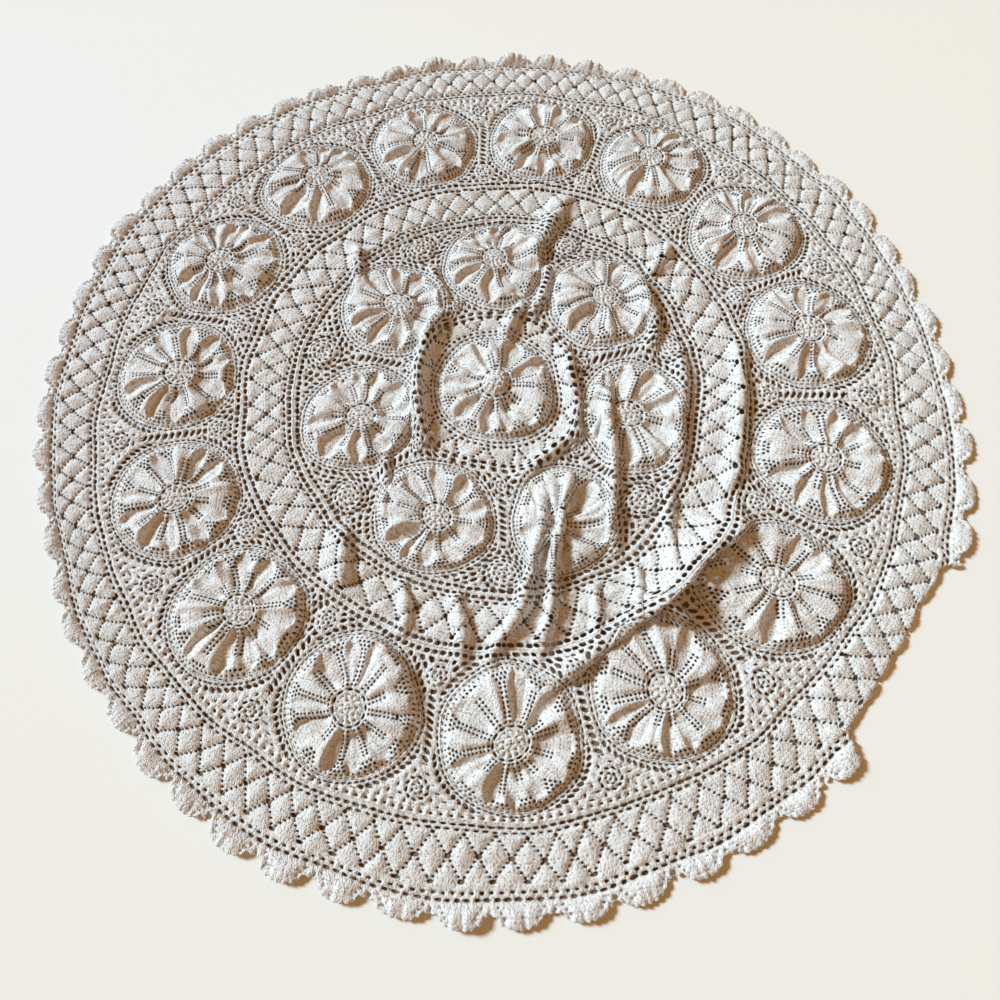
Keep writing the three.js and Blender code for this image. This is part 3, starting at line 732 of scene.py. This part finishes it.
BAND_ROUNDS = ((352.5, 196, 4.2, 2.9, 0), (361, 196, 3.1, 2.0, 0.9), (428, 232, 4.3, 2.9, 0))
BAND_CROSSINGS = ((364, 2.8, 2.4), (391, 3.4, 3.3), (419, 4.6, 2.9))
LINE_EYELETS = (4, 4)
BAND_PILLOW = 3.4


def band_mesh(x, y):
    """How far each point is inside the band's edges, and how far from the nearest gap."""
    radius, angle = np.hypot(x, y), np.degrees(np.arctan2(y, x))
    inside = np.minimum(BAND_R - radius, radius - INNER_NET_R) - HALF_GAP
    thread = rounds_of_gaps(angle, radius, BAND_ROUNDS)
    lozenges = lattice(angle, radius, BAND_REPEATS, 0, BAND_CROSSINGS, LINE_EYELETS)
    return inside, np.minimum(thread, lozenges)


net("lattice_band", "inner_lattice_band", band_mesh, INNER_NET_R, BAND_R, NET_PITCH, pillow=BAND_PILLOW)

# ---------------------------------------------------------------- outer joining net
# The same open mesh on a larger scale: ladder bars of big gaps stand between the fifteen
# outer wheels and fork round them, with a filler flower at the inner end and a swirled
# triangle of close mesh at the outer end.

OUTER_WHEEL_R, OUTER_NET_R = 100, 662.75
BOBBLE_COUNT, BOBBLE_TURN = 310, 0.4   # small bobbles between the gaps of its outermost round
OUTER_NET_ROUNDS = ((440.8, 232, 4.3, 3.0, BOBBLE_TURN), (658, BOBBLE_COUNT, 2.2, 1.7, BOBBLE_TURN))
OPEN_ROUNDS = (
    (11.5, 60, 4.8, 2.4, 34), (21.5, 58, 4.6, 3.0, 0), (31, 60, 4.7, 3.1, 0), (40.5, 62, 4.7, 3.1, 0),
)
CLOSE_ROUNDS = (
    (11.5, 68, 4.3, 2.5, 32), (25, 52, 3.2, 1.3, -36), (37, 60, 3.2, 1.3, 36), (49, 66, 3.2, 1.3, -36),
)
CLOSE_FROM = 575                       # distance out where the open mesh turns into the close one
OUTER_BAR_AT, OUTER_BAR_HALF_LENGTH, OUTER_BAR_HALF_WIDTH = 545, 46, 8.5
OUTER_FLOWER_AT, OUTER_FLOWER_R = 471, 18
OUTER_FLOWER_RINGS = ((6, 5, 2.0, 1.4), (13, 9, 2.6, 1.6))
SWIRL_AT, SWIRL_R = 628, 20
SWIRL_RINGS = ((7.5, 6, 2.6, 1.5), (15.5, 10, 3.4, 1.6))
PUFF_AT, PUFF_R = 626, 34              # the whole triangle round the swirl puffs up
OUTER_MESH_R0, OUTER_MESH_R1 = 446.5, 652


def outer_net_mesh(x, y):
    """How far each point is inside the outer net's edges, and how far from the nearest gap."""
    radius, angle = np.hypot(x, y), np.degrees(np.arctan2(y, x))
    inside = np.minimum(OUTER_NET_R - radius, radius - BAND_R) - HALF_GAP
    thread = rounds_of_gaps(angle, radius, OUTER_NET_ROUNDS)

    toward, near = about_wheel(x, y, angle, outer_wheel, OUTER_PHASE, OUTER_COUNT)
    along, across = about_ray(angle, radius, OUTER_PHASE, OUTER_COUNT)
    in_bar = np.maximum(np.abs(across) - OUTER_BAR_HALF_WIDTH,
                        np.abs(along - OUTER_BAR_AT) - OUTER_BAR_HALF_LENGTH)
    in_flower = np.hypot(along - OUTER_FLOWER_AT, across) - OUTER_FLOWER_R
    in_swirl = np.hypot(along - SWIRL_AT, across) - SWIRL_R
    inside = np.minimum(inside, near - OUTER_WHEEL_R - HALF_GAP)
    thread = np.minimum(thread, round_of_gaps(toward, near, OUTER_WHEEL_R + 4.0, 74, 3.1, 1.4, seed=6))
    open_mesh = rounds_about_wheel(toward, near, OUTER_WHEEL_R, OPEN_ROUNDS)
    close_mesh = rounds_about_wheel(toward, near, OUTER_WHEEL_R, CLOSE_ROUNDS)
    mesh = np.where(along < CLOSE_FROM, open_mesh, close_mesh)
    for distance in (in_bar, in_flower, in_swirl, radius - OUTER_MESH_R0, OUTER_MESH_R1 - radius):
        mesh = kept_off(mesh, distance)
    thread = np.minimum(thread, mesh)
    thread = np.minimum(thread, bar_of_gaps(along, across, 503, 10.5, 9, 5.6, 2.7, 32))
    flower = filler_flower(along - OUTER_FLOWER_AT, across, OUTER_FLOWER_RINGS, 8)
    thread = np.where(in_flower < 1, np.minimum(thread, flower), thread)
    swirl = filler_flower(along - SWIRL_AT, across, SWIRL_RINGS, 9)
    return inside, np.where(in_swirl < 1, np.minimum(thread, swirl), thread)


def outer_net_lift(x, y):
    """Its flowers, swirled triangles and bobbles stand up a little."""
    along, across = about_ray(np.degrees(np.arctan2(y, x)), np.hypot(x, y), OUTER_PHASE, OUTER_COUNT)
    bobbles = np.cos(BOBBLE_COUNT * (np.arctan2(y, x) - radians(BOBBLE_TURN)))
    bobbles = -1.5 * bobbles * np.exp(-((np.hypot(x, y) - 655) / 5) ** 2)
    flower = embossed(along - OUTER_FLOWER_AT, across, OUTER_FLOWER_R + 2, 2.5, 3)
    return flower + embossed(along - PUFF_AT, across, PUFF_R, 3.5, 4) + bobbles


net("outer_net", "outer_joining_net", outer_net_mesh, BAND_R, OUTER_NET_R, NET_PITCH, lift_of=outer_net_lift)

# ---------------------------------------------------------------- outer wheel motifs
# Fifteen larger cotton wheels, worked and joined as the inner ones are. The fullness of their
# petals makes each one buckle in its own way.

OUTER_HOLLOWS = (
    ((100, 2), (78, 1), (55, 2), (30, 1.5), (140, 1), (208, 1.5), (258, 3), (320, 1.5)),
    ((125, 1), (93, 2), (58, 2), (30, 2), (178, 2), (232, 2), (263, 2), (293, 2.5), (318, 1.5)),
    ((144, 1.5), (101, 3), (76, 1.5), (50, 1.5), (27, 2), (350, 2), (235, 2), (312, 3)),
    ((101, 2), (76, 2), (145, 2), (173, 2.5), (234, 3.5), (273, 1.5), (301, 1.5), (20, 1.5)),
    ((84, 2.5), (54, 2), (30, 2.5), (355, 2), (111, 1), (213, 2), (254, 1.5), (282, 2.5), (311, 1.5)),
    ((117, 2.5), (92, 2.5), (63, 2), (32, 2.5), (0, 1.5), (196, 2), (228, 2), (259, 2), (293, 2), (320, 1.5)),
    ((56, 2), (32, 1.5), (249, 3), (297, 2), (324, 1), (140, 2), (170, 1.5)),
    ((53, 2), (228, 2.5), (266, 2), (355, 2.5), (321, 1), (205, 1), (290, 1)),
    ((147, 2), (80, 3), (40, 2.5), (352, 3), (202, 2), (244, 2.5), (268, 2), (294, 2.5), (320, 1)),
    ((119, 3.5), (90, 1.5), (66, 1), (202, 3), (175, 1), (246, 2), (272, 2.5), (304, 2)),
    ((135, 2), (108, 1.5), (88, 2.5), (59, 3), (25, 2), (349, 1.5), (219, 1), (260, 2.5), (288, 2.5),
     (315, 2)),
    ((117, 2.5), (66, 2), (39, 2.5), (150, 1), (178, 1), (205, 2), (243, 2), (269, 2), (305, 2), (332, 1.5)),
    ((112, 2), (75, 2), (43, 3), (13, 2), (334, 3), (165, 1), (202, 1), (244, 2), (272, 3.5), (135, 1)),
    ((103, 1.5), (83, 2), (65, 2), (124, 1), (35, 2), (5, 2), (206, 2), (236, 2), (265, 1.5), (306, 3)),
    ((107, 2.5), (83, 1.5), (60, 2), (39, 2), (230, 3), (273, 2), (315, 2), (195, 1.5), (350, 1)),
)
OUTER_BROWS = (
    (-20, 0), (-25, 1), (0, 2), (22, 5), (-25, 2), (-10, 5), (-25, 5), (-40, 2),
    (-50, 4), (30, 7), (-5, 5), (0, 1), (-15, 0), (-20, 0), (-10, 1),
)
for k, hollows in enumerate(OUTER_HOLLOWS):
    wheel(f"outer_wheel_{k + 1}", f"outer_rosette_{k + 1}", outer_wheel(k), OUTER_WHEEL_R,
          hollows, OUTER_BROWS[k], 50 + k)

# ---------------------------------------------------------------- lattice border and shells
# The outermost cotton rounds, worked on last: lozenges of close stitches parted by lines of
# eyelets, two ladder rounds on each side of them, and sixty shells with small picots. Part of
# the hem at the right is turned under along a straight line.

BORDER_REPEATS = 105                   # lozenges round it
SHELL_COUNT, SHELL_START = 60, 86.4
SHELL_ANGLE = 360 / SHELL_COUNT
SHELL_FOOT_R, SHELL_VALLEY_R, PICOT_HIGH = 753, 766, 2.6
LATTICE_TURN = OUTER_PHASE + 180 / OUTER_COUNT - 0.7
BORDER_ROUNDS = (
    (669.5, 345, 4.7, 2.0, 0), (676.8, 345, 3.7, 1.7, 0.5),
    (745.5, 345, 2.9, 1.7, 0.5), (752.5, 345, 4.8, 1.9, 0),
)
BORDER_CROSSINGS = ((682.5, 2.8, 2.6), (709.5, 4.9, 2.7), (735, 5.2, 2.2))
BORDER_PITCH, BORDER_PILLOW = 2.75, 4.2


def shell_place(angle):
    """Which shell a direction falls in, and how far through it, 0.5 at its tip."""
    shell = (angle - SHELL_START) / SHELL_ANGLE
    return np.floor(shell) % SHELL_COUNT, shell % 1


def border_mesh(x, y):
    """How far each point is inside the border's edges, and how far from the nearest gap."""
    radius, angle = np.hypot(x, y), np.degrees(np.arctan2(y, x))
    number, through = shell_place(angle)
    from_tip = np.abs(through - 0.5 - 0.08 * chance(number, 3))
    fan = np.sqrt(np.maximum(1 - (from_tip / 0.37) ** 2, 0)) * (0.92 + 0.2 * chance(number, 4))
    picots = PICOT_HIGH * np.sqrt(np.abs(np.sin(9 * pi * through + 2 * chance(number, 5))))
    outline = SHELL_VALLEY_R + (SHELL_TIP_R - 3 - SHELL_VALLEY_R) * fan + picots
    inside = np.minimum(outline - radius, radius - OUTER_NET_R - HALF_GAP)
    thread = 1.5 * (outline - radius) + 0.5
    aside = radius * np.radians(SHELL_ANGLE) * np.minimum(through, 1 - through)
    space = gap(aside, radius - 763.5, 3.4, 2.4)
    thread = np.where(chance(number, 6) < 0.2, np.minimum(thread, space), thread)
    for row in range(3):
        thread = np.minimum(thread, gap(aside - 11 - 4.5 * row, radius - 760 - 5.2 * row, 1.5, 1.3))
    thread = np.minimum(thread, rounds_of_gaps(angle, radius, BORDER_ROUNDS))
    lozenges = lattice(angle, radius, BORDER_REPEATS, LATTICE_TURN, BORDER_CROSSINGS, LINE_EYELETS)
    return inside, np.minimum(thread, lozenges)


CURL_RISE, CURL_DIFFERENCE = 8.5, 6
RIBS, RIB_HIGH = 9, 0.5
FLAT_SHELLS = 170                      # the shells lie flatter here and opposite, in degrees from the right
# The step along an eyelet line, and in degrees the middle and half width of the side that has it.
LINE_STEP, STEPPED_MIDDLE, STEPPED_HALF = 3.0, 82, 62


def shell_curl(x, y):
    """The shells lift off the table towards their tips, each by its own amount, and crease. At the
    far side the lozenges overlap like tiles, with a step along every second line of eyelets."""
    radius, angle = np.hypot(x, y), np.degrees(np.arctan2(y, x))
    number, through = shell_place(angle)
    crease = np.exp(-((through - 0.5 - 0.4 * chance(number, 8)) / 0.06) ** 2)
    crease += 0.7 * np.exp(-((through - 0.35 - 0.3 * chance(number, 9)) / 0.04) ** 2)
    flatter = 1 - 0.6 * smooth(1.25 * np.abs(np.cos(np.radians(angle - FLAT_SHELLS))))
    curl = (CURL_RISE + CURL_DIFFERENCE * chance(number, 7)) * flatter * smooth((radius - SHELL_FOOT_R) / 16)
    curl *= np.sin(pi * through) ** 0.45 - 0.4 * crease
    ribs = np.cos(2 * pi * RIBS * (through - 0.5) * 776 / radius) * smooth((radius - 756) / 12)
    standing = (curl + RIB_HIGH * ribs) * smooth(-hem_line(radius, angle) / 5)
    column = (angle - LATTICE_TURN) * BORDER_REPEATS / 360 - (radius - BORDER_CROSSINGS[0][0]) / 53
    step = np.minimum(1 - column % 1, 6 * (column % 1))
    in_lozenges = smooth((radius - 680) / 8) * smooth((742 - radius) / 8)
    stepped = smooth((STEPPED_HALF - np.abs(angle - STEPPED_MIDDLE)) / 25)
    return standing + LINE_STEP * step * in_lozenges * stepped


net("lattice_border", "outer_lattice_border", border_mesh, OUTER_NET_R, SHELL_TIP_R, BORDER_PITCH,
    pillow=BORDER_PILLOW, lift_of=shell_curl)

# ---------------------------------------------------------------- floor, light and camera
# A plain floor, pale but for painted shade: a brown patch under the cloth that its gaps look onto.
# A broad key lamp and a faint cool one stand at the far left, and soft warm light comes from
# all round. Beyond the floor the camera sees a plain pale wall.

FLOOR_R = 4.0                          # metres
UNDER_R, CORNER_COUNT = 757, 180       # of the brown floor, before it is pulled out as the cloth is
# The brown under the cloth is painted shade, which the cloth's gaps show.
PALE_FLOOR, PAINTED_SHADE_UNDER_CLOTH = (0.96, 0.972, 0.95, 1), (0.235, 0.17, 0.125, 1)
turn = np.arange(CORNER_COUNT) * 360 / CORNER_COUNT
under = drape(*on_ring(UNDER_R, turn))[:, :2] + CLOTH_MIDDLE
corners = [(a * MM, b * MM, 0) for a, b in under]
corners += [(a, b, 0) for a, b in zip(*on_ring(FLOOR_R, turn))]
sides = []
for k in range(CORNER_COUNT):
    after = (k + 1) % CORNER_COUNT
    sides.append((k, k + CORNER_COUNT, after + CORNER_COUNT, after))
floor_mesh = bpy.data.meshes.new("floor")
floor_mesh.from_pydata(corners, [], [*sides, tuple(range(CORNER_COUNT))])
for name, colour in (("pale_floor", PALE_FLOOR), ("floor_painted_shade", PAINTED_SHADE_UNDER_CLOTH)):
    paint = bpy.data.materials.new(name)
    paint.use_nodes = True
    surface = paint.node_tree.nodes["Principled BSDF"]
    surface.inputs["Base Color"].default_value = colour
    surface.inputs["Roughness"].default_value = 1
    surface.inputs["Specular IOR Level"].default_value = 0
    floor_mesh.materials.append(paint)
floor_mesh.polygons[CORNER_COUNT].material_index = 1
floor = bpy.data.objects.new("floor", floor_mesh)
bpy.context.scene.collection.objects.link(floor)

from mathutils import Matrix, Vector

KEY_HEIGHT, KEY_FROM, KEY_SOFTNESS = 36, 152, 12    # degrees up, from the right, and across
KEY_STRENGTH, KEY_COLOUR = 4.2, (0.705, 0.87, 0.93)
key = bpy.data.lights.new("key", "SUN")
key.energy = KEY_STRENGTH
key.color = KEY_COLOUR
key.angle = radians(KEY_SOFTNESS)
key_lamp = bpy.data.objects.new("key", key)
key_lamp.rotation_mode = "XYZ"
key_lamp.rotation_euler = (0, radians(90 - KEY_HEIGHT), radians(KEY_FROM))
bpy.context.scene.collection.objects.link(key_lamp)

WINDOW_AT, WINDOW_SIZE, WINDOW_SPREAD = Vector((-2.2, 1.2, 1.3)), 1.2, 80
WINDOW_WATTS, WINDOW_COLOUR = 2.6, (0.1, 0.42, 1.0)
window = bpy.data.lights.new("window", "AREA")
window.energy = WINDOW_WATTS
window.color = WINDOW_COLOUR
window.size = WINDOW_SIZE
window.spread = radians(WINDOW_SPREAD)
window_lamp = bpy.data.objects.new("window", window)
window_lamp.location = WINDOW_AT
window_lamp.rotation_mode = "QUATERNION"
window_lamp.rotation_quaternion = (-WINDOW_AT).to_track_quat("-Z", "Y")
bpy.context.scene.collection.objects.link(window_lamp)

WARM_COLOUR, WARM_STRENGTH = (1.0, 0.49, 0.15, 1), 0.34
WALL_COLOUR = (0.86, 0.85, 0.79, 1)
world = bpy.data.worlds.new("room")
world.use_nodes = True
bpy.context.scene.world = world
world_nodes, world_links = world.node_tree.nodes, world.node_tree.links
warm_room = world_nodes["Background"]
warm_room.inputs["Color"].default_value = WARM_COLOUR
warm_room.inputs["Strength"].default_value = WARM_STRENGTH
pale_wall = world_nodes.new("ShaderNodeBackground")
pale_wall.inputs["Color"].default_value = WALL_COLOUR
pale_wall.inputs["Strength"].default_value = 1.0
rays = world_nodes.new("ShaderNodeLightPath")
seen = world_nodes.new("ShaderNodeMath")
seen.operation = "MAXIMUM"
world_links.new(rays.outputs["Is Camera Ray"], seen.inputs[0])
mirrored = world_nodes.new("ShaderNodeMath")
mirrored.operation = "MAXIMUM"
world_links.new(rays.outputs["Is Glossy Ray"], mirrored.inputs[0])
world_links.new(rays.outputs["Is Transmission Ray"], mirrored.inputs[1])
world_links.new(mirrored.outputs[0], seen.inputs[1])
room = world_nodes.new("ShaderNodeMixShader")
world_links.new(seen.outputs[0], room.inputs["Fac"])
world_links.new(warm_room.outputs[0], room.inputs[1])
world_links.new(pale_wall.outputs[0], room.inputs[2])
world_links.new(room.outputs[0], world_nodes["World Output"].inputs["Surface"])

# The camera's place and aim are in metres from the middle of the flat cloth, its lens in millimetres.
CAMERA_AT, CAMERA_AIM = Vector((-0.002, -0.599, 1.036)), Vector((-0.002, -0.2045, 0.0))
CAMERA_ROLL, LENS, SENSOR_WIDTH = -3.93, 25.2, 36
camera = bpy.data.objects.new("camera", bpy.data.cameras.new("camera"))
flat_middle = Vector((CLOTH_MIDDLE[0] * MM, CLOTH_MIDDLE[1] * MM, 0))
look = (CAMERA_AIM - CAMERA_AT).to_track_quat("-Z", "Y").to_matrix().to_4x4()
roll = Matrix.Rotation(radians(CAMERA_ROLL), 4, "Z")
camera.matrix_world = Matrix.Translation(CAMERA_AT + flat_middle) @ look @ roll
camera.data.lens = LENS
camera.data.sensor_width = SENSOR_WIDTH
bpy.context.scene.collection.objects.link(camera)
bpy.context.scene.camera = camera
bpy.context.scene.view_settings.view_transform = "Standard"
